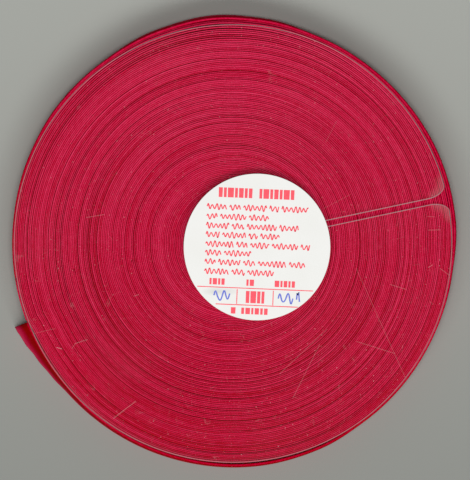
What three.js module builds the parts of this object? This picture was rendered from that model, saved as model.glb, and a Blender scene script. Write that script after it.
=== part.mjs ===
// A roll of narrow folded bias binding, wound flat round an open centre and lying on its face.
// A thin clear disc with a slit covers the upper face, and a round paper label sits on the disc.
// Millimetres, +Z up. The origin is on the surface, under the middle of the roll's outline.
import * as THREE from "three";

// The binding, folded to its finished width, and the roll that its length makes
const BINDING_WIDTH = 12;
const CENTRE_HOLE_RADIUS = 12;
const EDGE_ROUND = 0.3;
const LOOSE_TURN_THICKNESS = 1;

// The clear disc and its slit, which points up and to the right
const DISC_RADIUS = 65.7;
const DISC_THICKNESS = 0.6;
const SLIT_WIDTH = 1.6;
const SLIT_ANGLE = 12;
const SLIT_END_RADIUS = 7;
const SLIT_CORNER_RADIUS = 4.5;

// The label is stuck on off-centre
const LABEL_RADIUS = 22;
const LABEL_THICKNESS = 0.3;
const LABEL_OFFSET = { x: 7.2, y: -1.05 };

// The space left between neighbouring pieces
const GAP = 0.3;

// The binding's free end, in degrees anticlockwise from +X, and how far round the loose turn runs from it
const TAIL_ANGLE = 201;
const LOOSE_TURN_SWEEP = 347.6;
const LOOSE_TURN_SECTIONS = 140;

// The roll's rim steps out again just past the loose turn's root
const STEP_START = 348;
const STEP_SWEEP = 1.4;
const ROLL_SECTIONS = 90;

// Radii round the roll, read anticlockwise from the free end. top and foot are the loose turn's outer face
// at its upper and lower edge, and roll is the tightly wound part inside it.
const TURN_RADII = [
  { along: 0, top: 67.75, foot: 70.05, roll: 66.3 },
  { along: 4, top: 67.7, foot: 69.4, roll: 66.3 },
  { along: 9, top: 67.6, foot: 68.4, roll: 66.2 },
  { along: 15, top: 67.45, foot: 67.7, roll: 66.05 },
  { along: 30, top: 67.0, foot: 67.1, roll: 65.6 },
  { along: 50, top: 67.0, foot: 67.2, roll: 65.5 },
  { along: 75, top: 67.0, foot: 67.2, roll: 65.4 },
  { along: 92, top: 66.9, foot: 67.0, roll: 65.3 },
  { along: 106, top: 66.5, foot: 66.5, roll: 65.1 },
  { along: 134, top: 66.2, foot: 66.2, roll: 64.8 },
  { along: 150, top: 66.45, foot: 66.6, roll: 65.0 },
  { along: 165, top: 66.8, foot: 67.25, roll: 65.1 },
  { along: 180, top: 66.9, foot: 67.35, roll: 65.2 },
  { along: 210, top: 66.8, foot: 67.1, roll: 65.2 },
  { along: 226, top: 66.9, foot: 67.25, roll: 65.3 },
  { along: 241, top: 67.5, foot: 68.0, roll: 65.7 },
  { along: 254, top: 68.1, foot: 68.7, roll: 66.2 },
  { along: 269, top: 67.7, foot: 68.1, roll: 65.9 },
  { along: 286, top: 67.0, foot: 67.2, roll: 65.4 },
  { along: 300, top: 66.8, foot: 67.0, roll: 65.2 },
  { along: 316, top: 66.5, foot: 66.6, roll: 65.1 },
  { along: 335, top: 66.3, foot: 66.3, roll: 64.95 },
  { along: 348, top: 66.3, foot: 66.3, roll: 64.95 },
];

// Grooves between groups of turns that stand a little proud of each other, on each face of the roll
const UPPER_GROOVES = [
  { radius: 23.1, width: 0.9, depth: 0.3 },
  { radius: 30.3, width: 0.9, depth: 0.3 },
  { radius: 40.8, width: 1.0, depth: 0.4 },
  { radius: 49.2, width: 1.1, depth: 0.35 },
  { radius: 55.7, width: 1.1, depth: 0.45 },
  { radius: 61.9, width: 1.1, depth: 0.35 },
];
const LOWER_GROOVES = [
  { radius: 20.5, width: 0.9, depth: 0.3 },
  { radius: 33.6, width: 1.0, depth: 0.35 },
  { radius: 45.2, width: 1.0, depth: 0.3 },
  { radius: 57.4, width: 1.2, depth: 0.4 },
];

const radians = THREE.MathUtils.degToRad;

// A radius from the table, eased between its rows
function turnRadius(along, column) {
  const next = Math.max(1, TURN_RADII.findIndex((row) => row.along >= along));
  const [from, to] = [TURN_RADII[next - 1], TURN_RADII[next]];
  const share = THREE.MathUtils.clamp((along - from.along) / (to.along - from.along), 0, 1);
  return THREE.MathUtils.lerp(from[column], to[column], THREE.MathUtils.smoothstep(share, 0, 1));
}

function polarPoint(radius, angle, z) {
  return new THREE.Vector3(radius * Math.cos(radians(angle)), radius * Math.sin(radians(angle)), z);
}

// A closed solid through a row of sections, each a loop of points round the piece. The row joins up with its
// own start, or its two ends are capped with fans.
function solidThrough(sections, joinsUp) {
  const loop = sections[0].length;
  const triangles = [];
  const spans = joinsUp ? sections.length : sections.length - 1;
  for (let i = 0; i < spans; i++) {
    const here = i * loop;
    const there = ((i + 1) % sections.length) * loop;
    for (let j = 0; j < loop; j++) {
      const k = (j + 1) % loop;
      triangles.push(here + j, there + j, there + k, here + j, there + k, here + k);
    }
  }
  if (!joinsUp) {
    const last = (sections.length - 1) * loop;
    for (let j = 1; j < loop - 1; j++) {
      triangles.push(0, j, j + 1, last, last + j + 1, last + j);
    }
  }
  const geometry = new THREE.BufferGeometry().setFromPoints(sections.flat());
  geometry.setIndex(triangles);
  geometry.computeVertexNormals();
  return geometry;
}

function grooveRings(grooves, faceZ, inwards) {
  return grooves.flatMap(({ radius, width, depth }) => [
    { radius: radius - width / 2, z: faceZ },
    { radius, z: faceZ + inwards * depth },
    { radius: radius + width / 2, z: faceZ },
  ]);
}

// A cut through the wound binding, from the centre hole to its outer radius, as a loop of radii and heights
function rollOutline(outerRadius) {
  return [
    { radius: CENTRE_HOLE_RADIUS, z: EDGE_ROUND },
    { radius: CENTRE_HOLE_RADIUS + EDGE_ROUND, z: 0 },
    ...grooveRings(LOWER_GROOVES, 0, 1),
    { radius: outerRadius - EDGE_ROUND, z: 0 },
    { radius: outerRadius, z: EDGE_ROUND },
    { radius: outerRadius, z: BINDING_WIDTH - EDGE_ROUND },
    { radius: outerRadius - EDGE_ROUND, z: BINDING_WIDTH },
    ...grooveRings(UPPER_GROOVES, BINDING_WIDTH, -1).reverse(),
    { radius: CENTRE_HOLE_RADIUS + EDGE_ROUND, z: BINDING_WIDTH },
    { radius: CENTRE_HOLE_RADIUS, z: BINDING_WIDTH - EDGE_ROUND },
  ];
}

// The tightly wound binding. Its rim spirals in by a turn's thickness and steps out again where the loose
// turn leaves it.
function woundBinding() {
  const start = STEP_START + STEP_SWEEP - 360;
  const sections = [];
  for (let i = 0; i < ROLL_SECTIONS; i++) {
    const along = start + ((360 - STEP_SWEEP) * i) / (ROLL_SECTIONS - 1);
    const radius = turnRadius(Math.max(along, 0), "roll");
    sections.push(rollOutline(radius).map((p) => polarPoint(p.radius, TAIL_ANGLE + along, p.z)));
  }
  return solidThrough(sections, true);
}

// The last turn of binding, sprung away from the roll and leaning out towards its cut end
function looseTurn() {
  const sections = [];
  for (let i = 0; i <= LOOSE_TURN_SECTIONS; i++) {
    const along = (LOOSE_TURN_SWEEP * i) / LOOSE_TURN_SECTIONS;
    const top = turnRadius(along, "top");
    const foot = turnRadius(along, "foot");
    const height = Math.sqrt(BINDING_WIDTH ** 2 - (foot - top) ** 2);
    const corners = [
      { radius: foot - LOOSE_TURN_THICKNESS, z: 0 },
      { radius: foot, z: 0 },
      { radius: top, z: height },
      { radius: top - LOOSE_TURN_THICKNESS, z: height },
    ];
    sections.push(corners.map((p) => polarPoint(p.radius, TAIL_ANGLE + along, p.z)));
  }
  return solidThrough(sections, false);
}

function arc(centre, radius, from, to, steps) {
  return Array.from({ length: steps + 1 }, (_, i) => {
    const angle = from + ((to - from) * i) / steps;
    return new THREE.Vector2(centre.x + radius * Math.cos(angle), centre.y + radius * Math.sin(angle));
  });
}

// The disc's outline with its slit along +X: the rim, a rounded corner, the slit, and the other corner
function discOutline() {
  const halfSlit = SLIT_WIDTH / 2;
  const cornerRise = halfSlit + SLIT_CORNER_RADIUS;
  const cornerReach = Math.sqrt((DISC_RADIUS - SLIT_CORNER_RADIUS) ** 2 - cornerRise ** 2);
  const cornerAngle = Math.atan2(cornerRise, cornerReach);
  const rim = arc({ x: 0, y: 0 }, DISC_RADIUS, cornerAngle, 2 * Math.PI - cornerAngle, 140);
  const lowerCorner = { x: cornerReach, y: -cornerRise };
  const upperCorner = { x: cornerReach, y: cornerRise };
  const slitEnd = { x: SLIT_END_RADIUS, y: 0 };
  return [
    ...rim,
    ...arc(lowerCorner, SLIT_CORNER_RADIUS, -cornerAngle, Math.PI / 2, 9).slice(1),
    ...arc(slitEnd, halfSlit, -Math.PI / 2, (-3 * Math.PI) / 2, 8),
    ...arc(upperCorner, SLIT_CORNER_RADIUS, (3 * Math.PI) / 2, 2 * Math.PI + cornerAngle, 9).slice(0, -1),
  ];
}

function clearDisc() {
  const shape = new THREE.Shape(discOutline());
  return new THREE.ExtrudeGeometry(shape, { depth: DISC_THICKNESS, bevelEnabled: false });
}

function addMesh(group, name, geometry, material) {
  const mesh = new THREE.Mesh(geometry, new THREE.MeshStandardMaterial(material));
  mesh.name = name;
  group.add(mesh);
  return mesh;
}

const cloth = { color: 0xb11d3a, roughness: 0.85, metalness: 0 };
const clearPlastic = { color: 0xe8e4e2, roughness: 0.12, metalness: 0, transparent: true, opacity: 0.3 };
const paper = { color: 0xf0ebe6, roughness: 0.7, metalness: 0 };

const roll = new THREE.Group();
addMesh(roll, "wound_binding", woundBinding(), cloth);
addMesh(roll, "loose_turn", looseTurn(), cloth);

const disc = addMesh(roll, "clear_disc", clearDisc(), clearPlastic);
disc.rotation.z = radians(SLIT_ANGLE);
disc.position.z = BINDING_WIDTH + GAP;

const labelShape = new THREE.CylinderGeometry(LABEL_RADIUS, LABEL_RADIUS, LABEL_THICKNESS, 72);
const label = addMesh(roll, "paper_label", labelShape, paper);
label.rotation.x = Math.PI / 2;
const labelZ = disc.position.z + DISC_THICKNESS + GAP + LABEL_THICKNESS / 2;
label.position.set(LABEL_OFFSET.x, LABEL_OFFSET.y, labelZ);

// The outline isn't quite round, so its middle, and not the winding's axis, is set over the origin
const outline = new THREE.Box3().setFromObject(roll, true);
const middle = outline.getCenter(new THREE.Vector3());
roll.position.set(-middle.x, -middle.y, 0);

export default roll;
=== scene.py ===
import math

import bpy
import numpy as np
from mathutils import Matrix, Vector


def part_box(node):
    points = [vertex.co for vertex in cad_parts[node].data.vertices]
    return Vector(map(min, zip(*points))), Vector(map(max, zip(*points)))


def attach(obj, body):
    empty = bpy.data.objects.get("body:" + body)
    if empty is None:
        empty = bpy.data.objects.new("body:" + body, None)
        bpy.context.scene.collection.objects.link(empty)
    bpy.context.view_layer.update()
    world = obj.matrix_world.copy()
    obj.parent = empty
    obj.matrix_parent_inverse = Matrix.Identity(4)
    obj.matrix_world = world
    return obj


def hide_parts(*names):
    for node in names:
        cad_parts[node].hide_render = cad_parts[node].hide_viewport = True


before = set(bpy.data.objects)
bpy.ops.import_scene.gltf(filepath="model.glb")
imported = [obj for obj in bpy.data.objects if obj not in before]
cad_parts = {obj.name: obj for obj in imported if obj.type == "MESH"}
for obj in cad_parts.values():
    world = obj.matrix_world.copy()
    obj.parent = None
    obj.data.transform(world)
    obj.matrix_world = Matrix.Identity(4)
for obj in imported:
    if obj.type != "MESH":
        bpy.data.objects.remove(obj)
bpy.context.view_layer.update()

# The view
# The roll lies flat and is seen from straight above, so far off that its rim hides nothing. The photo's
# frame is 470 by 480, and a pixel is 0.3 mm on the clear disc.

# Named sizes are in mm, or in metres where the name ends in _M, and what comes from the frame is in metres.
MM = 0.001
disc_low, disc_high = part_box("clear_disc")
axis_x, axis_y = ((disc_low + disc_high) / 2).xy
PHOTO_HEIGHT = 144
VIEW_LENS = 1600
VIEW_OFFSET = (0.6, 1.05)

view = bpy.data.cameras.new("view")
view.lens = VIEW_LENS
view_distance = PHOTO_HEIGHT * MM * VIEW_LENS / view.sensor_width
view_object = bpy.data.objects.new("view", view)
view_object.location = (
    axis_x + VIEW_OFFSET[0] * MM,
    axis_y + VIEW_OFFSET[1] * MM,
    disc_high.z + view_distance,
)
bpy.context.scene.collection.objects.link(view_object)
bpy.context.scene.camera = view_object
bpy.context.scene.view_settings.view_transform = "Standard"


# The wound binding
# 25 m of polycotton bias strip, its two raw edges folded in and pressed, wound on edge into a flat roll.
# Every turn is a rounded fold on each face. Some turns stand proud of their neighbours and some have sunk.
BINDING_WIDTH = 12
OUTER_RADIUS = 66.3
LAP_PITCH = 0.52
LAPS = 103
LAP_SECTIONS = 132
LEAST_GAP = 0.03
WIDEST_GAP = 0.22
GROOVE_DEPTH = 0.5
MIDDLE_DISH = 3.0
DISH_CURVE = 3
MEAN_TOP = 12.06
HIGHEST_TOP = 12.27
TAIL_ANGLE = 201
START_ANGLE = TAIL_ANGLE + 348.1
PIECE_LAPS = {"turns_outer": (0, 34), "turns_middle": (34, 68), "turns_inner": (68, LAPS)}

# How evenly the strip was wound: the unevenness that is left by the centre, as a share of the rim's, and how
# the turns wander in and out, up and down at the upper fold, and up and down at the lower one. Each wander
# is by so many mm, with a new value every so many laps.
CENTRE_UNEVENNESS = 0.5
SWAYS = [{"by": 0.06, "every": 0.9, "seed": 11}, {"by": 0.05, "every": 0.31, "seed": 12}]
RISES = [
    {"by": 0.11, "every": 0.21, "seed": 21},
    {"by": 0.05, "every": 1.1, "seed": 22},
    {"by": 0.03, "every": 4.3, "seed": 23},
]
MEAN_FOOT = 0.12
FOOT_RISES = [{"by": 0.12, "every": 0.4, "seed": 41}, {"by": 0.08, "every": 2.2, "seed": 42}]

# A fold's roundness: how far its shoulder and its side lie below the ridge, in drops, and how far out across
# the turn the shoulder is. The drop is in mm, and the ridge wanders by a share of half the turn.
SHOULDER_OUT = 0.8
SHOULDER_DROPS = 0.8
SIDE_DROPS = 2.2
MEAN_DROP = 0.07
DROP_WANDER = [{"by": 0.03, "every": 0.7, "seed": 51}]
RIDGE_WANDER = [{"by": 0.3, "every": 0.5, "seed": 52}]
FOLD_GIRTHS = np.array([0, 0.15, 0.4, 0.65, 0.8])

# The shape of the outermost turns in mm, read anticlockwise from the free end. top and foot are the loose
# turn's outer face at its upper and lower edge. last and swell are how far the last wound turn and those
# inside it have spread, or drawn in where it is below nought, and sunk is how far the last one has slipped
# down.
TURN_SHAPE = [
    {"along": 0, "top": 66.4, "foot": 70.35, "last": -0.7, "swell": -0.7, "sunk": 0.3},
    {"along": 4, "top": 66.1, "foot": 69.6, "last": -1.0, "swell": -1.0, "sunk": 0.3},
    {"along": 9, "top": 65.95, "foot": 68.5, "last": -1.12, "swell": -1.12, "sunk": 0.3},
    {"along": 15, "top": 65.95, "foot": 67.7, "last": -1.12, "swell": -1.12, "sunk": 0.3},
    {"along": 21, "top": 66.1, "foot": 67.15, "last": -0.95, "swell": -0.95, "sunk": 0.3},
    {"along": 30, "top": 66.45, "foot": 67.2, "last": -0.6, "swell": -0.6, "sunk": 0.3},
    {"along": 50, "top": 66.7, "foot": 67.3, "last": -0.35, "swell": -0.4, "sunk": 0.3},
    {"along": 75, "top": 66.9, "foot": 67.35, "last": -0.3, "swell": -0.4, "sunk": 0.5},
    {"along": 92, "top": 66.8, "foot": 67.1, "last": -0.3, "swell": -0.3, "sunk": 0.3},
    {"along": 106, "top": 66.4, "foot": 66.5, "last": -0.3, "swell": -0.3, "sunk": 0.1},
    {"along": 134, "top": 66.3, "foot": 66.35, "last": -0.45, "swell": -0.45, "sunk": 0.2},
    {"along": 150, "top": 66.35, "foot": 66.6, "last": -0.4, "swell": -0.5, "sunk": 0.4},
    {"along": 165, "top": 67.1, "foot": 67.4, "last": 0.22, "swell": 0.1, "sunk": 0.1},
    {"along": 180, "top": 67.2, "foot": 67.45, "last": 0.38, "swell": 0.2, "sunk": 0.0},
    {"along": 210, "top": 67.05, "foot": 67.25, "last": 0.28, "swell": 0.2, "sunk": 0.1},
    {"along": 226, "top": 67.2, "foot": 67.35, "last": 0.5, "swell": 0.55, "sunk": 0.6},
    {"along": 241, "top": 67.75, "foot": 68.35, "last": 1.0, "swell": 1.0, "sunk": 1.1},
    {"along": 254, "top": 68.1, "foot": 68.95, "last": 1.2, "swell": 1.35, "sunk": 1.3},
    {"along": 269, "top": 67.6, "foot": 68.3, "last": 1.0, "swell": 1.1, "sunk": 1.1},
    {"along": 286, "top": 67.0, "foot": 67.25, "last": 0.5, "swell": 0.55, "sunk": 0.6},
    {"along": 300, "top": 66.85, "foot": 67.15, "last": 0.35, "swell": 0.3, "sunk": 0.3},
    {"along": 316, "top": 66.55, "foot": 66.75, "last": 0.1, "swell": 0.1, "sunk": 0.1},
    {"along": 335, "top": 66.3, "foot": 66.3, "last": 0.0, "swell": 0.0, "sunk": 0.0},
    {"along": 360, "top": 66.3, "foot": 66.3, "last": 0.0, "swell": 0.0, "sunk": 0.0},
]
# How many laps further in a swelling and a drawing in have died away to about a third
SWELL_LAPS = 6
SQUEEZE_LAPS = 14

# The dark grooves that show most, where one turn has drawn away from the next: the radius in mm, the arc in
# degrees anticlockwise from +X, and the width in mm
GROOVES = [
    {"radius": 64.5, "from": 60, "to": 112, "width": 0.16},
    {"radius": 62.0, "from": 84, "to": 200, "width": 0.16},
    {"radius": 60.0, "from": 20, "to": 84, "width": 0.12},
    {"radius": 58.4, "from": 45, "to": 100, "width": 0.11},
    {"radius": 55.9, "from": 70, "to": 235, "width": 0.16},
    {"radius": 53.9, "from": 150, "to": 330, "width": 0.16},
    {"radius": 52.3, "from": 20, "to": 140, "width": 0.14},
    {"radius": 49.6, "from": 45, "to": 165, "width": 0.14},
    {"radius": 47.1, "from": 85, "to": 290, "width": 0.16},
    {"radius": 45.6, "from": 90, "to": 140, "width": 0.07},
    {"radius": 42.9, "from": 10, "to": 60, "width": 0.07},
    {"radius": 41.4, "from": 65, "to": 240, "width": 0.11},
    {"radius": 39.0, "from": 20, "to": 130, "width": 0.10},
    {"radius": 36.6, "from": 80, "to": 200, "width": 0.09},
    {"radius": 34.1, "from": 5, "to": 65, "width": 0.11},
    {"radius": 30.3, "from": 70, "to": 200, "width": 0.09},
    {"radius": 29.1, "from": 50, "to": 110, "width": 0.10},
    {"radius": 25.1, "from": 60, "to": 250, "width": 0.10},
    {"radius": 63.6, "from": 255, "to": 300, "width": 0.16},
    {"radius": 61.0, "from": 200, "to": 235, "width": 0.12},
    {"radius": 60.5, "from": 285, "to": 345, "width": 0.10},
    {"radius": 57.9, "from": 200, "to": 262, "width": 0.10},
    {"radius": 56.8, "from": 265, "to": 350, "width": 0.17},
    {"radius": 54.9, "from": 268, "to": 380, "width": 0.11},
    {"radius": 50.7, "from": 200, "to": 280, "width": 0.10},
    {"radius": 50.8, "from": 325, "to": 365, "width": 0.10},
    {"radius": 48.6, "from": 190, "to": 262, "width": 0.11},
    {"radius": 46.5, "from": 290, "to": 380, "width": 0.11},
    {"radius": 43.2, "from": 300, "to": 370, "width": 0.10},
    {"radius": 42.3, "from": 240, "to": 312, "width": 0.10},
    {"radius": 39.6, "from": 195, "to": 330, "width": 0.11},
    {"radius": 38.4, "from": 338, "to": 380, "width": 0.10},
    {"radius": 36.9, "from": 200, "to": 280, "width": 0.11},
    {"radius": 34.6, "from": 280, "to": 362, "width": 0.10},
    {"radius": 31.4, "from": 295, "to": 380, "width": 0.10},
    {"radius": 30.0, "from": 200, "to": 290, "width": 0.09},
]
# The higher the power, the more suddenly a groove ends
GROOVE_END_POWER = 6

# Many small grooves besides, at random: the least and the most of the lap that each lies at, of half its arc
# in laps, and of its width in mm
SMALL_GROOVES = 150
SMALL_GROOVE_SEED = 31
SMALL_GROOVE_LEAST = (0, 0.06, 0.02)
SMALL_GROOVE_MOST = (LAPS, 0.3, 0.1)
SMALL_GROOVE_END_POWER = 4


def eased(values, place, share):
    """The value at a share of the way from one place in a row of values to the next, eased at both."""
    share = share * share * (3 - 2 * share)
    return values[place] * (1 - share) + values[place + 1] * share


def shape_at(along, column):
    """A column of TURN_SHAPE, eased between its rows."""
    rows = np.array([row["along"] for row in TURN_SHAPE])
    place = np.clip(np.searchsorted(rows, along, side="right") - 1, 0, len(rows) - 2)
    start, end = rows[place], rows[place + 1]
    share = np.clip((along - start) / (end - start), 0, 1)
    return eased(np.array([row[column] for row in TURN_SHAPE]), place, share)


def wander(laps, waves, mean=0):
    """A smooth random wander of the binding about its mean, from waves of several lengths."""
    total = mean
    for wave in waves:
        place = (laps + 1) / wave["every"]
        whole = place.astype(int)
        knots = np.random.default_rng(wave["seed"]).uniform(-1, 1, whole.max() + 2)
        total = total + wave["by"] * eased(knots, whole, place - whole)
    return total


def looseness(laps):
    """How uneven the winding is, as a share of its unevenness at the rim."""
    return 1 - (1 - CENTRE_UNEVENNESS) * laps / LAPS


def wound_radius(laps):
    """The outer radius of the binding before it spreads, tighter in some places than in others."""
    return OUTER_RADIUS - LAP_PITCH * laps + wander(laps, SWAYS) * looseness(laps)


def lap_at(radius, angle):
    """How many laps in the binding is where it passes nearest to a place on the roll."""
    part_lap = (angle - START_ANGLE) / 360
    return round((OUTER_RADIUS - radius) / LAP_PITCH - part_lap) + part_lap


def grooves_inside(laps):
    """The width in mm of the gap on the inner side of each turn's folds."""
    width = np.full(len(laps), LEAST_GAP)
    for groove in GROOVES:
        middle = lap_at(groove["radius"], (groove["from"] + groove["to"]) / 2)
        half_arc = (groove["to"] - groove["from"]) / (2 * 360)
        width += groove["width"] * np.exp(-(((laps - middle) / half_arc) ** GROOVE_END_POWER))
    chance = np.random.default_rng(SMALL_GROOVE_SEED)
    for _ in range(SMALL_GROOVES):
        middle, half_arc, most = chance.uniform(SMALL_GROOVE_LEAST, SMALL_GROOVE_MOST)
        fading = np.exp(-(((laps - middle) / half_arc) ** SMALL_GROOVE_END_POWER))
        width += most * looseness(middle) * fading
    return np.minimum(width, WIDEST_GAP)


def fold_rise(laps):
    """How high the upper fold stands above its mean. Here and there a turn stands proud or has sunk."""
    dish = MIDDLE_DISH * np.clip(laps / LAPS, 0, 1) ** DISH_CURVE
    return wander(laps, RISES) * looseness(laps) - grooves_inside(laps) - dish


def closed_faces(rings, around):
    """The faces of a closed form through rings of points: its sides, and then its two ends."""
    here = (np.arange(rings - 1) * around)[:, None] + np.arange(around)
    ahead = np.roll(here, -1, axis=1)
    sides = np.stack([here, ahead, ahead + around, here + around], axis=-1).reshape(-1, 4)
    last = (rings - 1) * around
    return sides.tolist() + [list(range(around))[::-1], list(range(last, last + around))]


def strip_mesh(name, rings, lengths, girths):
    """A closed strip through rings of points, its raw ends capped and its cloth laid out in mm as UVs."""
    sections, around = rings.shape[:2]
    mesh = bpy.data.meshes.new(name)
    mesh.from_pydata(rings.reshape(-1, 3).tolist(), [], closed_faces(sections, around))
    along, beyond, near, far = (
        np.broadcast_to(edge, (sections - 1, around))
        for edge in (lengths[:-1, None], lengths[1:, None], girths[:-1], girths[1:])
    )
    corners = [(along, near), (along, far), (beyond, far), (beyond, near)]
    laid = np.stack([np.stack(corner, axis=-1) for corner in corners], axis=2).reshape(-1, 2)
    cap_corners = np.tile(np.stack([np.zeros(around), girths[:-1]], axis=-1), (2, 1))
    layer = mesh.uv_layers.new(name="cloth_mm")
    layer.uv.foreach_set("vector", np.concatenate([laid, cap_corners]).astype(np.float32).ravel())
    smooth = np.ones(len(mesh.polygons), bool)
    smooth[-2:] = False
    mesh.polygons.foreach_set("use_smooth", smooth)
    mesh.update()
    return mesh


def round_the_axis(radii, angles, heights):
    """Points in the part's frame, in metres, from radii and heights in mm and angles in degrees."""
    turn = np.radians(angles)
    return np.stack(
        [axis_x + radii * MM * np.cos(turn), axis_y + radii * MM * np.sin(turn), heights * MM + 0 * turn],
        axis=-1,
    )


def wound_turns(name, first, last):
    """The turns from one lap to another, each squeezed into the room that its neighbours leave."""
    laps = np.linspace(first, last, int((last - first) * LAP_SECTIONS) + 1)
    angles = START_ANGLE + 360 * laps
    along = (angles - TAIL_ANGLE) % 360
    groove = grooves_inside(laps)
    outer, inner = wound_radius(laps), wound_radius(laps + 1) + groove
    deep = np.maximum(laps - 1, 0)
    spread = shape_at(along, "swell")
    spread = spread * np.exp(-deep / np.where(spread > 0, SWELL_LAPS, SQUEEZE_LAPS))
    spread = np.where(laps < 1, shape_at(along, "last"), spread)
    middle, half = (outer + inner) / 2 + spread, (outer - inner) / 2
    sunk = np.where(laps < 1, shape_at(along, "sunk"), 0)
    top = np.minimum(MEAN_TOP + fold_rise(laps), HIGHEST_TOP) - sunk
    foot = np.maximum(wander(laps, FOOT_RISES, MEAN_FOOT), 0)
    drop = wander(laps, DROP_WANDER, MEAN_DROP)
    ridge = wander(laps, RIDGE_WANDER)
    pressed_in = -1 - (groove - LEAST_GAP) / half
    profile = [
        (-1, top - SIDE_DROPS * drop),
        (-SHOULDER_OUT, top - SHOULDER_DROPS * drop),
        (ridge, top),
        (SHOULDER_OUT, top - SHOULDER_DROPS * drop),
        (1, top - SIDE_DROPS * drop),
        (1, foot + SIDE_DROPS * drop),
        (SHOULDER_OUT, foot + SHOULDER_DROPS * drop),
        (0, foot),
        (-SHOULDER_OUT, foot + SHOULDER_DROPS * drop),
        (-1, foot + SIDE_DROPS * drop),
        (pressed_in, foot + GROOVE_DEPTH),
        (pressed_in, top - GROOVE_DEPTH),
    ]
    rings = [round_the_axis(middle + side * half, angles, height) for side, height in profile]
    steps = np.radians(360 / LAP_SECTIONS) * (outer[1:] + outer[:-1]) / 2
    lengths = np.concatenate([[0], np.cumsum(steps)])
    lower_fold = BINDING_WIDTH + FOLD_GIRTHS
    back = [lower_fold[-1] + GROOVE_DEPTH, 2 * BINDING_WIDTH - GROOVE_DEPTH, 2 * BINDING_WIDTH]
    girths = np.concatenate([FOLD_GIRTHS, lower_fold, back])
    return strip_mesh(name, np.stack(rings, axis=1), lengths, girths)


def node(tree, kind, inputs=(), **settings):
    """A shader node with its settings, and its inputs set or linked."""
    made = tree.nodes.new("ShaderNode" + kind)
    for setting, value in settings.items():
        setattr(made, setting, value)
    for socket, value in dict(inputs).items():
        if isinstance(value, bpy.types.NodeSocket):
            tree.links.new(value, made.inputs[socket])
        else:
            made.inputs[socket].default_value = value
    return made


def maths(tree, operation, *values):
    return node(tree, "Math", enumerate(values), operation=operation).outputs[0]


def vector_maths(tree, operation, *values):
    return node(tree, "VectorMath", enumerate(values), operation=operation)


def clamped(tree, value):
    return node(tree, "Clamp", {0: value}).outputs[0]


def ramp(tree, value, span, tones=(0, 1), **settings):
    """The tone that a value has between the two ends of a span."""
    ends = {"From Min": span[0], "From Max": span[1], "To Min": tones[0], "To Max": tones[1]}
    return node(tree, "MapRange", {"Value": value, **ends}, **settings).outputs[0]


def noise(tree, place, per_metre, detail, distortion=0):
    inputs = {"Vector": place, "Scale": per_metre, "Detail": detail, "Distortion": distortion}
    return node(tree, "TexNoise", inputs).outputs["Fac"]


def mixed(tree, share, first, second, data_type="RGBA"):
    mix = {"Factor": share, "A": first, "B": second}
    return node(tree, "Mix", mix, data_type=data_type).outputs["Result"]


def flat_from_axis(tree, in_place):
    """The way in the plane of the roll from its axis to a place."""
    from_axis = vector_maths(tree, "SUBTRACT", in_place, (axis_x, axis_y, 0)).outputs[0]
    return vector_maths(tree, "MULTIPLY", from_axis, (1, 1, 0)).outputs[0]


def shader_group(name, inputs, outputs):
    """A node group with named inputs and outputs. Each input is given as its kind and default."""
    tree = bpy.data.node_groups.new(name, "ShaderNodeTree")
    for label, (kind, default) in inputs.items():
        socket = tree.interface.new_socket(label, in_out="INPUT", socket_type="NodeSocket" + kind)
        socket.default_value = default
    for label in outputs:
        tree.interface.new_socket(label, in_out="OUTPUT", socket_type="NodeSocketFloat")
    return tree, tree.nodes.new("NodeGroupInput").outputs, tree.nodes.new("NodeGroupOutput").inputs


def group_node(tree, group, inputs):
    return node(tree, "Group", inputs, node_tree=group).outputs


def new_material(name, **plain):
    """A material with one Principled shader, and that shader's plain values."""
    material = bpy.data.materials.new(name)
    material.use_nodes = True
    shader = material.node_tree.nodes["Principled BSDF"]
    for socket, value in plain.items():
        shader.inputs[socket.replace("_", " ")].default_value = value
    return material, material.node_tree, shader.inputs


def placed(name, mesh, *materials):
    """A piece in the scene, with its mesh and materials."""
    piece = bpy.data.objects.new(name, mesh)
    bpy.context.scene.collection.objects.link(piece)
    for material in materials:
        piece.data.materials.append(material)
    return piece


def paint(red, green, blue):
    """A colour as seen on screen, from 0 to 255, as the linear colour that shaders take."""
    shown = np.array([red, green, blue]) / 255
    linear = np.where(shown <= 0.04045, shown / 12.92, ((shown + 0.055) / 1.055) ** 2.4)
    return (*linear.tolist(), 1)


# Cloth cut on the bias, so its threads cross the binding at 45 degrees
THREAD_DIP = 0.4
weave, given, out = shader_group(
    "bias_weave",
    {"Cloth place": ("Vector", (0, 0, 0)), "Thread spacing": ("Float", 0.3)},
    ["Height", "Tone"],
)
place = node(weave, "SeparateXYZ", {0: given["Cloth place"]}).outputs
slant = maths(weave, "MULTIPLY", given["Thread spacing"], math.sqrt(2))
numbers, bulges, shades = [], [], []
for way in ("ADD", "SUBTRACT"):
    thread = maths(weave, "DIVIDE", maths(weave, way, place["X"], place["Y"]), slant)
    bulge = maths(weave, "SINE", maths(weave, "MULTIPLY", thread, math.pi))
    bulges.append(maths(weave, "ABSOLUTE", bulge))
    numbers.append(maths(weave, "FLOOR", thread))
    shade = node(weave, "TexWhiteNoise", {"W": numbers[-1]}, noise_dimensions="1D")
    shades.append(shade.outputs["Value"])
weft_on_top = maths(weave, "FLOORED_MODULO", maths(weave, "ADD", *numbers), 2)
over, under, upper_shade = (
    mixed(weave, weft_on_top, warp, weft, data_type="FLOAT") for warp, weft in (bulges, bulges[::-1], shades)
)
dip = maths(weave, "MULTIPLY_ADD", under, THREAD_DIP, 1 - THREAD_DIP)
weave.links.new(maths(weave, "MULTIPLY", maths(weave, "SQRT", over), dip), out["Height"])
weave.links.new(upper_shade, out["Tone"])

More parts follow.
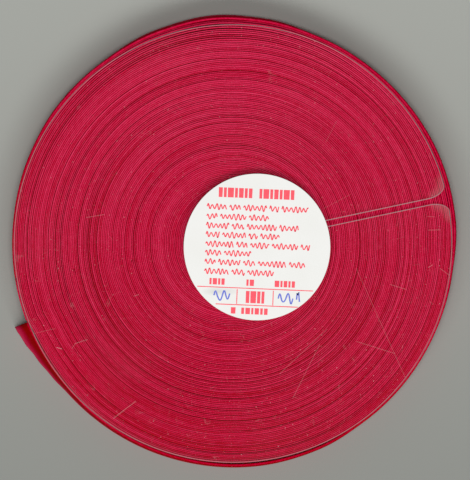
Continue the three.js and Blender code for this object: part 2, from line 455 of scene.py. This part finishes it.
THREAD_SPACING = 0.36
WEAVE_RELIEF_M = 0.04 * MM
MIDDLE_RED = 0.3
CLOTH_REDS = {0: paint(164, 0, 0), MIDDLE_RED: paint(194, 0, 54), 1: paint(238, 66, 110)}
FIRST_TONE = -1.03
MOTTLES_PER_M = 2600
RUBBED_LENGTH = 110
FAR_LIGHT_SPAN_M = 66 * MM
UNDER_DISC_M = (66.2 * MM, 65.2 * MM)
TOP_HIGHLIGHT_TONES = (0.5, 0.6)
PALE_FOOT_M = 8 * MM

cloth, tree, surface = new_material("binding_cloth", Roughness=0.9, Specular_IOR_Level=0.02)
laid_out = node(tree, "UVMap", uv_map="cloth_mm").outputs[0]
threads = group_node(tree, weave, {"Cloth place": laid_out, "Thread spacing": THREAD_SPACING})
places = node(tree, "TexCoord").outputs
in_place = places["Object"]
sides = node(tree, "SeparateXYZ", {0: in_place}).outputs
mottle = noise(tree, in_place, MOTTLES_PER_M, detail=2)

# The red is paler at random where the cloth has rubbed. Painted highlights make it paler on the threads'
# crowns, along the crowns of the folds and on folds that face up, most under the disc; painted light makes
# it paler on the far side of the roll, and painted shade makes it deeper high up, paler towards its foot.
# Its tone runs from 0 for the deepest red to 1 for the palest.
laid = node(tree, "SeparateXYZ", {0: laid_out}).outputs
rubbing = {"W": laid["X"], "Scale": 1 / RUBBED_LENGTH, "Detail": 1}
rubbed = node(tree, "TexNoise", rubbing, noise_dimensions="1D").outputs["Fac"]
fold_crown = FOLD_GIRTHS[2]
off_crown = maths(tree, "ABSOLUTE", maths(tree, "SUBTRACT", laid["Y"], fold_crown))
# Painted highlight: the folds are paler along their crowns
crown_highlight = ramp(tree, off_crown, (fold_crown, 0))
radius = vector_maths(tree, "LENGTH", flat_from_axis(tree, in_place)).outputs["Value"]
facing_up = node(tree, "SeparateXYZ", {0: places["Normal"]}).outputs["Z"]
# Painted highlight: folds that face up are paler, a little more so under the disc
painted_top_highlight = maths(tree, "MULTIPLY", ramp(tree, radius, UNDER_DISC_M, TOP_HIGHLIGHT_TONES), facing_up)
# Painted light: paler towards the far side of the roll, deeper towards the near side
painted_far_light = ramp(tree, sides["Y"], (-FAR_LIGHT_SPAN_M, FAR_LIGHT_SPAN_M))
# Painted shade: deeper red high up by the rim, paler towards the foot
painted_foot_light = ramp(tree, sides["Z"], (PALE_FOOT_M, 0))
paling = [
    # The threads' crowns are paler, a painted highlight
    (threads["Height"], 0.3),
    (threads["Tone"], 0.22),
    (mottle, 0.2),
    (rubbed, 0.55),
    (crown_highlight, 0.15),
    (painted_top_highlight, 1),
    (painted_far_light, 0.25),
    (painted_foot_light, 0.95),
]
tone = FIRST_TONE
for effect, strength in paling:
    tone = maths(tree, "MULTIPLY_ADD", effect, strength, tone)
red_ramp = node(tree, "ValToRGB", {0: tone})
reds = red_ramp.color_ramp.elements
reds.new(MIDDLE_RED)
for stop, (position, red) in zip(reds, CLOTH_REDS.items()):
    stop.position, stop.color = position, red
tree.links.new(red_ramp.outputs["Color"], surface["Base Color"])
relief = node(tree, "Bump", {"Height": threads["Height"], "Strength": 0.25, "Distance": WEAVE_RELIEF_M})
tree.links.new(relief.outputs[0], surface["Normal"])

for name, (first, last) in PIECE_LAPS.items():
    turns = placed(name, wound_turns(name, first, last), cloth)
    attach(turns, "root")
    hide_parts("wound_binding")


# The loose turn
# The last turn of the same binding, sprung off the roll and leaning outwards to its cut end. Here it is
# modelled as it is folded: one layer outside, and the two raw edges turned in behind it.
CLOTH_THICKNESS = 0.24
FOLDED_THICKNESS = 0.8
RAW_EDGE_GAP = 0.7
LOOSE_SWEEP = 348
LOOSE_SECTIONS = 260
FLAP_STEPS = 4
FOLD_STEPS = 6
FACE_STEPS = 8
RIPPLE = [{"by": 0.04, "every": 0.06, "seed": 61}]


def folded_path():
    """The middle of the cloth across the binding, from one raw edge round both folds to the other, in mm."""
    reach = (FOLDED_THICKNESS - CLOTH_THICKNESS) / 2
    outer_layer = -CLOTH_THICKNESS / 2
    fold = CLOTH_THICKNESS / 2 + reach
    raw_edge = (BINDING_WIDTH - RAW_EDGE_GAP) / 2
    turn = np.linspace(0, math.pi, FOLD_STEPS + 1)
    flap_rise = np.linspace(raw_edge, fold, FLAP_STEPS + 1)[:-1]
    lower_flap = np.stack([np.full(len(flap_rise), outer_layer - 2 * reach), flap_rise], axis=-1)
    lower_fold = np.stack([outer_layer - reach - reach * np.cos(turn), fold - reach * np.sin(turn)], axis=-1)
    face_rise = np.linspace(fold, BINDING_WIDTH - fold, FACE_STEPS + 1)[1:-1]
    face = np.stack([np.full(len(face_rise), outer_layer), face_rise], axis=-1)
    lower = np.concatenate([lower_flap, lower_fold])
    upper = (lower * (1, -1) + (0, BINDING_WIDTH))[::-1]
    return np.concatenate([lower, face, upper])


def thickened(path, thickness):
    """A closed outline at half the thickness to each side of a path."""
    along = np.gradient(path, axis=0)
    along /= np.linalg.norm(along, axis=1, keepdims=True)
    side = np.stack([-along[:, 1], along[:, 0]], axis=-1) * thickness / 2
    return np.concatenate([path + side, (path - side)[::-1]])


def loose_turn():
    """The folded section, carried round the roll and tipped out by the turn's lean."""
    outline = thickened(folded_path(), CLOTH_THICKNESS)
    along = np.linspace(0, LOOSE_SWEEP, LOOSE_SECTIONS + 1)
    top, foot = shape_at(along, "top"), shape_at(along, "foot")
    ripple = wander(along / 360, RIPPLE)
    lean = np.arcsin((foot - top) / BINDING_WIDTH)
    out_by, up_by = outline[:, 0][None, :], outline[:, 1][None, :]
    sin, cos = np.sin(lean)[:, None], np.cos(lean)[:, None]
    radii = (foot + ripple)[:, None] + out_by * cos - up_by * sin
    heights = up_by * cos + out_by * sin
    heights -= heights.min(axis=1, keepdims=True)
    rings = round_the_axis(radii, (TAIL_ANGLE + along)[:, None], heights)
    lengths = np.radians(along) * OUTER_RADIUS
    steps = np.linalg.norm(np.diff(outline, axis=0, append=outline[:1]), axis=1)
    return strip_mesh("loose_binding", rings, lengths, np.concatenate([[0], np.cumsum(steps)]))


loose = placed("loose_binding", loose_turn(), cloth)
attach(loose, "root")
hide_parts("loose_turn")


# The clear disc
# A stamped disc of clear plastic that lies on the roll, with a slit from its rim to under the label. Its cut
# edges are rough and pale, and its face has dust, hairline scratches and a haze at the slit's corners.
DISC_RADIUS = 65.8
RIM_STEPS = 300
EDGE_IN = 0.28
EDGE_DOWN = 0.16
EDGE_MIDDLE = 0.3

# Each side of the slit bends away to the rim in a rounded corner. The curve starts so far from the axis and
# ends so far from the slit's middle. Its first handle lies at a share of its length, and its second at a
# share of its rise, just inside the rim.
SLIT_WIDTH = 1.6
SLIT_ANGLE = 12
SLIT_END_RADIUS = 7
SLIT_END_STEPS = 12
CORNER_START = 60
CORNER_TIP_RISE = 3.9
CORNER_HANDLE_ALONG = 0.7
CORNER_HANDLE_RISE = 0.75
CORNER_HANDLE_IN = 0.02
CORNER_STEPS = 20


def arc(centre, radius, start, end, steps):
    turn = np.linspace(start, end, steps + 1)
    return np.stack([centre[0] + radius * np.cos(turn), centre[1] + radius * np.sin(turn)], axis=-1)


def disc_outline():
    """The rim, one side of the slit along +X, its round end and its other side, in mm."""
    half = SLIT_WIDTH / 2
    tip = math.asin(CORNER_TIP_RISE / DISC_RADIUS)
    rim = arc((0, 0), DISC_RADIUS, tip, 2 * math.pi - tip, RIM_STEPS)
    curve = [
        (CORNER_START, half),
        (CORNER_START + CORNER_HANDLE_ALONG * (DISC_RADIUS - CORNER_START), half),
        (DISC_RADIUS - CORNER_HANDLE_IN, CORNER_HANDLE_RISE * CORNER_TIP_RISE),
        (rim[0, 0], CORNER_TIP_RISE),
    ]
    share = np.linspace(0, 1, CORNER_STEPS + 1)[:-1, None]
    rest = 1 - share
    weights = np.hstack([rest**3, 3 * share * rest**2, 3 * share**2 * rest, share**3])
    upper = weights @ np.array(curve)
    lower = (upper * (1, -1))[::-1]
    end = arc((SLIT_END_RADIUS, 0), half, -math.pi / 2, -3 * math.pi / 2, SLIT_END_STEPS)
    return np.concatenate([rim, lower, end, upper])


def inset(outline, amount):
    """The outline drawn in by an amount, square to its own run."""
    along = np.roll(outline, -1, axis=0) - np.roll(outline, 1, axis=0)
    along /= np.linalg.norm(along, axis=1, keepdims=True)
    return outline + amount * np.stack([-along[:, 1], along[:, 0]], axis=-1)


def plate_mesh(name, outline, low, high, edge_in, edge_down):
    """A thin plate with softened edges. Its two faces take the first material and its rim the second."""
    levels = [
        (edge_in, low),
        (edge_in * EDGE_MIDDLE, low + edge_down * EDGE_MIDDLE),
        (0, low + edge_down),
        (0, high - edge_down),
        (edge_in * EDGE_MIDDLE, high - edge_down * EDGE_MIDDLE),
        (edge_in, high),
    ]
    around = len(outline)
    rings = [np.column_stack([inset(outline, amount) * MM, np.full(around, z * MM)]) for amount, z in levels]
    faces = closed_faces(len(levels), around)
    mesh = bpy.data.meshes.new(name)
    mesh.from_pydata(np.concatenate(rings).tolist(), [], faces)
    material_of = np.ones(len(faces), int)
    material_of[-2:] = 0
    mesh.polygons.foreach_set("material_index", material_of)
    mesh.polygons.foreach_set("use_smooth", material_of.astype(bool))
    mesh.update()
    return mesh


def turned(points, degrees):
    angle = math.radians(degrees)
    spin = np.array([[math.cos(angle), math.sin(angle)], [-math.sin(angle), math.cos(angle)]])
    return points @ spin


# One hairline scratch, from one point to another
hairline, given, out = shader_group(
    "hairline",
    {
        "Place": ("Vector", (0, 0, 0)),
        "Start": ("Vector", (0, 0, 0)),
        "End": ("Vector", (0, 0, 0)),
        "Width": ("Float", 0.0001),
    },
    ["Mask"],
)
run = vector_maths(hairline, "SUBTRACT", given["End"], given["Start"]).outputs[0]
from_start = vector_maths(hairline, "SUBTRACT", given["Place"], given["Start"]).outputs[0]
run_squared = vector_maths(hairline, "DOT_PRODUCT", run, run).outputs["Value"]
covered = vector_maths(hairline, "DOT_PRODUCT", from_start, run).outputs["Value"]
share = clamped(hairline, maths(hairline, "DIVIDE", covered, run_squared))
nearest = node(hairline, "VectorMath", {0: run, "Scale": share}, operation="SCALE").outputs[0]
away = vector_maths(hairline, "DISTANCE", from_start, nearest).outputs["Value"]
fading = maths(hairline, "SUBTRACT", 1, maths(hairline, "DIVIDE", away, given["Width"]))
hairline.links.new(clamped(hairline, fading), out["Mask"])

# A band of haze inside a round edge, which fades in over a range of how far it faces one way
HAZE_FACING = (0.2, 0.95)
haze_patch, given, out = shader_group(
    "haze_patch",
    {
        "Place": ("Vector", (0, 0, 0)),
        "Centre": ("Vector", (0, 0, 0)),
        "Toward": ("Vector", (1, 0, 0)),
        "Inner": ("Float", 0),
        "Outer": ("Float", 1),
    },
    ["Mask"],
)
from_centre = vector_maths(haze_patch, "SUBTRACT", given["Place"], given["Centre"]).outputs[0]
reached = vector_maths(haze_patch, "LENGTH", from_centre).outputs["Value"]
heading = vector_maths(haze_patch, "NORMALIZE", from_centre).outputs[0]
facing = vector_maths(haze_patch, "DOT_PRODUCT", heading, given["Toward"]).outputs["Value"]
ring = ramp(haze_patch, reached, (given["Inner"], given["Outer"]), interpolation_type="SMOOTHSTEP")
sector = ramp(haze_patch, facing, HAZE_FACING, interpolation_type="SMOOTHSTEP")
within = maths(haze_patch, "LESS_THAN", reached, given["Outer"])
band = maths(haze_patch, "MULTIPLY", maths(haze_patch, "MULTIPLY", ring, sector), within)
haze_patch.links.new(band, out["Mask"])

# Specks of dust or dirt, one to a cell at most, and the higher the rarity, the fewer of them are large
specks, given, out = shader_group(
    "specks",
    {
        "Place": ("Vector", (0, 0, 0)),
        "Cells per metre": ("Float", 1000),
        "Rarity": ("Float", 5),
        "Size": ("Float", 0.1),
        "Sharpness": ("Float", 20),
    },
    ["Mask"],
)
layout = {"Vector": given["Place"], "Scale": given["Cells per metre"]}
cells = node(specks, "TexVoronoi", layout, voronoi_dimensions="2D").outputs
luck = node(specks, "SeparateColor", {0: cells["Color"]}).outputs[0]
reach = maths(specks, "MULTIPLY", maths(specks, "POWER", luck, given["Rarity"]), given["Size"])
depth = maths(specks, "MULTIPLY", maths(specks, "SUBTRACT", reach, cells["Distance"]), given["Sharpness"])
specks.links.new(clamped(specks, depth), out["Mask"])

# The scratches that show, from the middle of the disc, each with how strongly it shows
SCRATCHES = [
    {"start": (37.0, -7.5), "end": (51.8, -40.5), "strength": 0.08},
    {"start": (14.0, -39.1), "end": (28.2, -25.7), "strength": 0.1},
    {"start": (17.9, -46.5), "end": (26.0, -30.3), "strength": 0.09},
    {"start": (37.1, -29.4), "end": (48.5, -33.0), "strength": 0.12},
    {"start": (27.8, 30.3), "end": (31.0, 36.6), "strength": 0.08},
    {"start": (-35.9, -52.5), "end": (-29.3, -47.4), "strength": 0.2},
    {"start": (-44.0, 7.8), "end": (-38.6, 8.7), "strength": 0.16},
    {"start": (-52.9, -31.2), "end": (-51.4, -31.6), "strength": 0.4},
    {"start": (-48.3, -31.5), "end": (-47.3, -30.0), "strength": 0.12},
    {"start": (-47.3, -30.0), "end": (-43.7, -28.8), "strength": 0.2},
    {"start": (-59.6, -27.0), "end": (-53.3, -25.5), "strength": 0.08},
    {"start": (-29.7, -15.8), "end": (-28.3, -15.3), "strength": 0.2},
    {"start": (58.4, 8.1), "end": (60.5, 8.0), "strength": 0.12},
    {"start": (58.6, 4.0), "end": (62.2, 4.1), "strength": 0.16},
    {"start": (58.6, -7.2), "end": (59.9, -6.4), "strength": 0.25},
    {"start": (62.2, -7.5), "end": (65.0, -9.6), "strength": 0.14},
    {"start": (47.2, -12.3), "end": (52.0, -13.8), "strength": 0.14},
    {"start": (27.2, 10.5), "end": (35.2, 14.7), "strength": 0.07},
]
SCRATCH_WIDTH_M = 0.13 * MM
HAZE = 0.004
GRAZING_GLOSS = 0.55
GRAZING_POWER = 4

# The plastic shows only by its veil: how much of it each mark adds, from 0 for clear to 1 for solid
clear, tree, surface = new_material(
    "clear_plastic", Roughness=0.1, Specular_IOR_Level=0.06, Base_Color=paint(230, 164, 168)
)
in_place = node(tree, "TexCoord").outputs["Object"]
flat_place = flat_from_axis(tree, in_place)
veil = HAZE
for scratch in SCRATCHES:
    line = group_node(
        tree,
        hairline,
        {
            "Place": flat_place,
            "Start": (scratch["start"][0] * MM, scratch["start"][1] * MM, 0),
            "End": (scratch["end"][0] * MM, scratch["end"][1] * MM, 0),
            "Width": SCRATCH_WIDTH_M,
        },
    )
    veil = maths(tree, "MULTIPLY_ADD", line["Mask"], scratch["strength"], veil)

# Specks of dust, in cells of several sizes that don't line up
SPECK_CELLS = (2.2, 1.4, 0.9)
SPECK_STRENGTH = 0.2
for size in SPECK_CELLS:
    shifted = vector_maths(tree, "ADD", in_place, (size, size, 0)).outputs[0]
    dust = {"Place": shifted, "Cells per metre": 1 / (size * MM), "Rarity": 5, "Size": 0.1, "Sharpness": 18}
    veil = maths(tree, "MULTIPLY_ADD", group_node(tree, specks, dust)["Mask"], SPECK_STRENGTH, veil)

# Short curled hairs of lint, in patches. A hair lies wherever the noise is at its middle value.
CURLS_PER_M = 170
LINT_THINNESS = 110
LINT_STRENGTH = 0.09
LINT_PATCHES_PER_M = 330
LINT_PATCH_FADE = (0.55, 0.68)
curl = noise(tree, in_place, CURLS_PER_M, detail=1, distortion=1.2)
beside = maths(tree, "ABSOLUTE", maths(tree, "SUBTRACT", curl, 0.5))
hair = clamped(tree, maths(tree, "MULTIPLY_ADD", beside, -LINT_THINNESS, 1))
patch = ramp(tree, noise(tree, in_place, LINT_PATCHES_PER_M, detail=1), LINT_PATCH_FADE)
veil = maths(tree, "MULTIPLY_ADD", maths(tree, "MULTIPLY", hair, patch), LINT_STRENGTH, veil)

# A smear of haze that comes and goes
SMEARS_PER_M = 45
SMEAR_FADE = (0.45, 0.8)
SMEAR_STRENGTH = 0.006
smear = ramp(tree, noise(tree, in_place, SMEARS_PER_M, detail=4), SMEAR_FADE, (0, SMEAR_STRENGTH))
veil = maths(tree, "ADD", veil, smear)

# The pale bands inside the lower left of the rim and on a ring inside each of the slit's two corners, with
# the way that each faces most and how strongly it shows
RIM_BAND = {"centre": (0, 0), "toward": (-0.8, -0.6), "inner": DISC_RADIUS - 1.5, "outer": DISC_RADIUS}
RIM_HAZE = 0.02
CORNER_RADIUS = 4.5
CORNER_BAND = {"inner": 0.25 * CORNER_RADIUS, "outer": 1.1 * CORNER_RADIUS}
CORNER_TOWARD = (0.8, -0.6)
CORNER_HAZE = 0.1
bands = [(RIM_BAND, RIM_HAZE)]
corner_rise = SLIT_WIDTH / 2 + CORNER_RADIUS
corner_reach = math.sqrt((DISC_RADIUS - CORNER_RADIUS) ** 2 - corner_rise**2)
for side in (-1, 1):
    corner = np.array([(corner_reach, corner_rise), CORNER_TOWARD]) * (1, side)
    centre, toward = turned(corner, SLIT_ANGLE)
    bands.append(({"centre": centre, "toward": toward, **CORNER_BAND}, CORNER_HAZE))
for band, strength in bands:
    mask = group_node(
        tree,
        haze_patch,
        {
            "Place": flat_place,
            "Centre": (band["centre"][0] * MM, band["centre"][1] * MM, 0),
            "Toward": (*band["toward"], 0),
            "Inner": band["inner"] * MM,
            "Outer": band["outer"] * MM,
        },
    )["Mask"]
    veil = maths(tree, "MULTIPLY_ADD", mask, strength, veil)

edge_on = node(tree, "LayerWeight", {"Blend": 0.5}).outputs["Facing"]
veil = maths(tree, "MULTIPLY_ADD", maths(tree, "POWER", edge_on, GRAZING_POWER), GRAZING_GLOSS, veil)
tree.links.new(clamped(tree, veil), surface["Alpha"])

# The stamped edge shows more than the face, where it is burred and most of all along the slit
EDGE_VEIL = 0.16
BURRS_PER_M = 400
BURR_VEIL = 0.2
SLIT_VEIL = 0.14
SLIT_RADII_M = (65 * MM, 62 * MM)
cut_edge, tree, surface = new_material("cut_plastic_edge", Roughness=0.5, Base_Color=paint(192, 160, 164))
in_place = node(tree, "TexCoord").outputs["Object"]
burr = noise(tree, in_place, BURRS_PER_M, detail=2)
radius = vector_maths(tree, "LENGTH", flat_from_axis(tree, in_place)).outputs["Value"]
veil = maths(tree, "ADD", ramp(tree, radius, SLIT_RADII_M, (0, SLIT_VEIL)), EDGE_VEIL)
tree.links.new(maths(tree, "MULTIPLY_ADD", burr, BURR_VEIL, veil), surface["Alpha"])

disc_shape = turned(disc_outline(), SLIT_ANGLE) + np.array([axis_x, axis_y]) / MM
disc_mesh = plate_mesh("clear_cover", disc_shape, disc_low.z / MM, disc_high.z / MM, EDGE_IN, EDGE_DOWN)
cover = placed("clear_cover", disc_mesh, clear, cut_edge)
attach(cover, "root")
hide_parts("clear_disc")


# The paper label
# A round white paper label, stuck off-centre on the disc over the middle of the roll, and a little askew.
LABEL_RADIUS = 22
LABEL_THICKNESS = 0.2
LABEL_LIFT = 0.03
LABEL_EDGE = 0.06
LABEL_STEPS = 180
LABEL_TILT = -2.4
FRESH_PAPER, AGED_PAPER = paint(247, 247, 245), paint(236, 236, 230)
FIBRES_PER_M = 2600
FIBRE_TONE = 0.35
AGEING_PER_M = 90
AGEING_TONE = 0.7
label_low, label_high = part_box("paper_label")
label_x, label_y = ((label_low + label_high) / 2).xy
label_foot = disc_high.z / MM + LABEL_LIFT
label_face = label_foot + LABEL_THICKNESS

paper, tree, surface = new_material("label_paper", Roughness=0.62)
in_place = node(tree, "TexCoord").outputs["Object"]
fibres = noise(tree, in_place, FIBRES_PER_M, detail=3)
ageing = noise(tree, in_place, AGEING_PER_M, detail=2)
tone = maths(tree, "MULTIPLY_ADD", ageing, AGEING_TONE, maths(tree, "MULTIPLY", fibres, FIBRE_TONE))
aged = mixed(tree, tone, FRESH_PAPER, AGED_PAPER)

# A grey thumb mark under the upper rule, and a few specks of dirt
SOILED_PAPER = paint(120, 116, 110)
THUMB_PLACE_M = (label_x - 11 * MM, label_y - 13.3 * MM, label_face * MM)
THUMB_REACH_M = (6 * MM, 1.5 * MM, 1)
THUMB_STRENGTH = 0.55
DIRT_CELLS_M = 2.6 * MM
DIRT_STRENGTH = 0.25
from_thumb = vector_maths(tree, "SUBTRACT", in_place, THUMB_PLACE_M).outputs[0]
stretched = vector_maths(tree, "DIVIDE", from_thumb, THUMB_REACH_M).outputs[0]
thumb_way = vector_maths(tree, "LENGTH", stretched).outputs["Value"]
grey = maths(tree, "MULTIPLY", ageing, THUMB_STRENGTH)
thumb = maths(tree, "MULTIPLY", ramp(tree, thumb_way, (1, 0)), grey)
dirt = {"Place": in_place, "Cells per metre": 1 / DIRT_CELLS_M, "Rarity": 6, "Size": 0.06, "Sharpness": 25}
soil = maths(tree, "MULTIPLY_ADD", group_node(tree, specks, dirt)["Mask"], DIRT_STRENGTH, thumb)
tree.links.new(mixed(tree, soil, aged, SOILED_PAPER), surface["Base Color"])
grain = node(tree, "Bump", {"Height": fibres, "Strength": 0.3, "Distance": 0.02 * MM})
tree.links.new(grain.outputs[0], surface["Normal"])

label_outline = arc((label_x / MM, label_y / MM), LABEL_RADIUS, 0, 2 * math.pi, LABEL_STEPS)[:-1]
label_mesh = plate_mesh("round_label", label_outline, label_foot, label_face, LABEL_EDGE, LABEL_EDGE)
label = placed("round_label", label_mesh, paper, paper)
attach(label, "root")
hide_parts("paper_label")


# The print and the pen marks
# Red print and two notes in blue pen, all without words or figures: ruled lines, plain blocks where the
# larger type would be, and wavy lines where the small type would be.
INK_THICKNESS = 0.03
INK_UNEVENNESS = 0.12
SMALL_TYPE_HEIGHT = 1.75
SMALL_TYPE_STROKE = 0.36
SMALL_TYPE_WAVE = 1.25
SMALL_TYPE_SEED = 100
WORD_GAP = 0.95
ROW_START = -15.4
BLOCK_SEED = 7
RULE_WIDTH = 0.27
RULE_SEED = 200
RULE_STEPS = 30

# Rows of small type, by height on the label, each with the lengths of its words
TYPE_ROWS = [
    {"y": 11.6, "words": (5.8, 3.2, 6.9, 2.7, 7.9)},
    {"y": 8.7, "words": (3.1, 7.7, 5.8)},
    {"y": 5.9, "words": (6.7, 3.6, 8.8, 5.6)},
    {"y": 3.2, "words": (4.0, 6.9, 2.6, 5.6)},
    {"y": 0.4, "words": (8.3, 3.2, 5.6, 7.7, 2.6)},
    {"y": -2.2, "words": (4.7, 8.0)},
    {"y": -5.0, "words": (3.1, 6.5, 3.5, 8.4, 4.7)},
    {"y": -7.8, "words": (7.2, 3.8, 7.8)},
]
# Blocks in place of the larger type: where each group starts, its height, its blocks' widths and their gap
BLOCK_ROWS = [
    {"x": -12.1, "y": 16.0, "height": 2.9, "widths": (1.1, 0.8, 1.7, 0.8, 1.3, 0.8, 1.0), "gap": 0.42},
    {"x": 0.1, "y": 16.0, "height": 2.9, "widths": (0.8, 1.6, 0.8, 1.2, 0.8, 1.7, 1.0), "gap": 0.42},
    {"x": -13.8, "y": -10.8, "height": 1.9, "widths": (0.6, 1.2, 0.6, 0.9), "gap": 0.4},
    {"x": -2.7, "y": -10.8, "height": 1.9, "widths": (0.6, 1.2), "gap": 0.4},
    {"x": 5.8, "y": -10.8, "height": 1.9, "widths": (1.3, 0.6, 1.0, 0.6, 0.9), "gap": 0.4},
    {"x": -2.7, "y": -15.1, "height": 3.6, "widths": (1.0, 1.6, 0.9, 0.8), "gap": 0.4},
    {"x": -7.0, "y": -19.3, "height": 1.9, "widths": (1.3,), "gap": 0.5},
    {"x": -3.9, "y": -19.3, "height": 1.9, "widths": (0.8, 1.3, 0.6, 1.2, 0.7, 1.0), "gap": 0.45},
]
RULES = [
    {"start": (-17.4, -12.5), "end": (17.4, -12.5)},
    {"start": (-11.7, -17.55), "end": (13.0, -17.55)},
    {"start": (-5.4, -12.9), "end": (-5.4, -17.3)},
    {"start": (5.45, -12.9), "end": (5.45, -17.3)},
]
PEN_STROKE = 0.42
PEN_SEED = 300
PEN_NOTES = [
    {"x": -12.3, "y": -15.0, "length": 4.7, "rise": 1.7, "waves": 2},
    {"x": 7.0, "y": -15.2, "length": 4.4, "rise": 1.6, "waves": 2},
    {"x": 12.5, "y": -15.3, "length": 0.9, "rise": 2.1, "waves": 0.5},
]

# How the waves differ: how far they drift along their line and swell in height, and how fast each may change
# from one end of the line to the other
WAVE_STEPS = 10
WAVE_DRIFT = 0.5
DRIFT_SPEEDS = (5, 9)
MEAN_SWING = 0.85
SWING_CHANGE = 0.25
SWING_SPEEDS = (6, 14)
SWING_STARTS = (0, 6)


def ink_line(path, width, wobble_seed):
    """A stroke of ink along a path, as the corners of a thin closed strip, with a slightly uneven width."""
    along = np.gradient(path, axis=0)
    along /= np.linalg.norm(along, axis=1, keepdims=True)
    uneven = 1 + INK_UNEVENNESS * np.random.default_rng(wobble_seed).uniform(-1, 1, (len(path), 1))
    side = np.stack([-along[:, 1], along[:, 0]], axis=-1) * width / 2 * uneven
    foot, face = label_face - INK_THICKNESS / 3, label_face + INK_THICKNESS * 2 / 3
    edges = [(path + side, foot), (path + side, face), (path - side, face), (path - side, foot)]
    return np.stack([np.column_stack([points, np.full(len(path), z)]) for points, z in edges], axis=1)


def ink_mesh(name, strokes):
    """All the strokes of one ink, turned with the label, in one mesh."""
    points, faces = [], []
    for stroke in strokes:
        sections = len(stroke)
        first = len(points)
        stroke[..., :2] = turned(stroke[..., :2], LABEL_TILT) + (label_x / MM, label_y / MM)
        points += (stroke.reshape(-1, 3) * MM).tolist()
        for i in range(sections - 1):
            for j in range(4):
                k = (j + 1) % 4
                near, far = first + 4 * i, first + 4 * (i + 1)
                faces.append((near + j, far + j, far + k, near + k))
        faces.append((first + 3, first + 2, first + 1, first))
        last = first + 4 * (sections - 1)
        faces.append((last, last + 1, last + 2, last + 3))
    mesh = bpy.data.meshes.new(name)
    mesh.from_pydata(points, [], [face[::-1] for face in faces])
    mesh.update()
    return mesh


def wavy_line(x, y, length, rise, waves, seed):
    """The path of a wavy line, whose waves differ in height and length."""
    steps = np.linspace(0, 1, int(waves * WAVE_STEPS) + 2)
    chance = np.random.default_rng(seed)
    phase = steps * waves * 2 * math.pi + WAVE_DRIFT * np.sin(steps * chance.uniform(*DRIFT_SPEEDS))
    change = np.sin(steps * chance.uniform(*SWING_SPEEDS) + chance.uniform(*SWING_STARTS))
    swing = rise * (MEAN_SWING + SWING_CHANGE * change)
    return np.stack([x + steps * length, y + swing * np.sin(phase)], axis=-1)


red_strokes = []
for row_number, row in enumerate(TYPE_ROWS):
    x = ROW_START
    for word_number, length in enumerate(row["words"]):
        seed = SMALL_TYPE_SEED + 10 * row_number + word_number
        path = wavy_line(x, row["y"], length, SMALL_TYPE_HEIGHT / 2, length / SMALL_TYPE_WAVE, seed)
        red_strokes.append(ink_line(path, SMALL_TYPE_STROKE, seed))
        x += length + WORD_GAP
for row in BLOCK_ROWS:
    x = row["x"]
    for width in row["widths"]:
        middle = x + width / 2
        path = np.array([(middle, row["y"] - row["height"] / 2), (middle, row["y"] + row["height"] / 2)])
        red_strokes.append(ink_line(path, width, BLOCK_SEED))
        x += width + row["gap"]
for number, rule in enumerate(RULES):
    path = np.linspace(rule["start"], rule["end"], RULE_STEPS)
    red_strokes.append(ink_line(path, RULE_WIDTH, RULE_SEED + number))
pen_strokes = []
for number, note in enumerate(PEN_NOTES):
    seed = PEN_SEED + number
    path = wavy_line(note["x"], note["y"], note["length"], note["rise"], note["waves"], seed)
    pen_strokes.append(ink_line(path, PEN_STROKE, seed))

INK_PATCHES_PER_M = 1500
INKS = {
    "red_print": (red_strokes, paint(252, 52, 74), paint(254, 92, 108)),
    "pen_notes": (pen_strokes, paint(74, 92, 206), paint(120, 134, 222)),
}
for name, (strokes, full, thin) in INKS.items():
    ink, tree, surface = new_material(name, Roughness=0.55)
    in_place = node(tree, "TexCoord").outputs["Object"]
    inked = mixed(tree, noise(tree, in_place, INK_PATCHES_PER_M, detail=3), full, thin)
    tree.links.new(inked, surface["Base Color"])
    marks = placed(name, ink_mesh(name, strokes), ink)
    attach(marks, "root")


# The surface and the light
# A pale surface under soft studio light: one lamp nearly overhead, and a long one lower down that lies
# across the near side. The surface is painted darker towards the near side, as painted shade.
FLOOR_SIZE_M = 12
LAMP_DISTANCE_M = 4
LAMPS = {
    "overhead": {"elevation": 87, "power": 56, "size": (1, 0.3)},
    "near_side": {"elevation": 57, "power": 112, "size": (4.6, 1.5)},
}
ROOM_LIGHT = 0.15
FLOOR_NEAR_SHADE = paint(143, 145, 140)
FLOOR_FAR_LIGHT = paint(168, 170, 164)
FLOOR_SHADE_SPAN_M = 0.1

floor_mesh = bpy.data.meshes.new("surface")
edge = FLOOR_SIZE_M / 2
corners = [(-edge, -edge, 0), (edge, -edge, 0), (edge, edge, 0), (-edge, edge, 0)]
floor_mesh.from_pydata(corners, [], [(0, 1, 2, 3)])
floor_material, tree, surface = new_material("pale_surface", Roughness=0.95, Specular_IOR_Level=0.1)
# Painted shade: the surface darkens towards the near side, a painted light gradient
away = node(tree, "SeparateXYZ", {0: node(tree, "TexCoord").outputs["Object"]}).outputs["Y"]
share = ramp(tree, away, (-FLOOR_SHADE_SPAN_M, FLOOR_SHADE_SPAN_M), interpolation_type="SMOOTHSTEP")
tree.links.new(mixed(tree, share, FLOOR_NEAR_SHADE, FLOOR_FAR_LIGHT), surface["Base Color"])
floor = placed("surface", floor_mesh, floor_material)

for name, lamp in LAMPS.items():
    light = bpy.data.lights.new(name, "AREA")
    light.shape = "RECTANGLE"
    light.size, light.size_y = lamp["size"]
    light.energy = lamp["power"]
    light_object = bpy.data.objects.new(name, light)
    rise = math.radians(lamp["elevation"])
    light_object.location = (0, -LAMP_DISTANCE_M * math.cos(rise), LAMP_DISTANCE_M * math.sin(rise))
    light_object.rotation_euler = (math.pi / 2 - rise, 0, 0)
    bpy.context.scene.collection.objects.link(light_object)

world = bpy.data.worlds.new("room")
world.use_nodes = True
background = world.node_tree.nodes["Background"].inputs
background["Color"].default_value = (1, 1, 1, 1)
background["Strength"].default_value = ROOM_LIGHT
bpy.context.scene.world = world
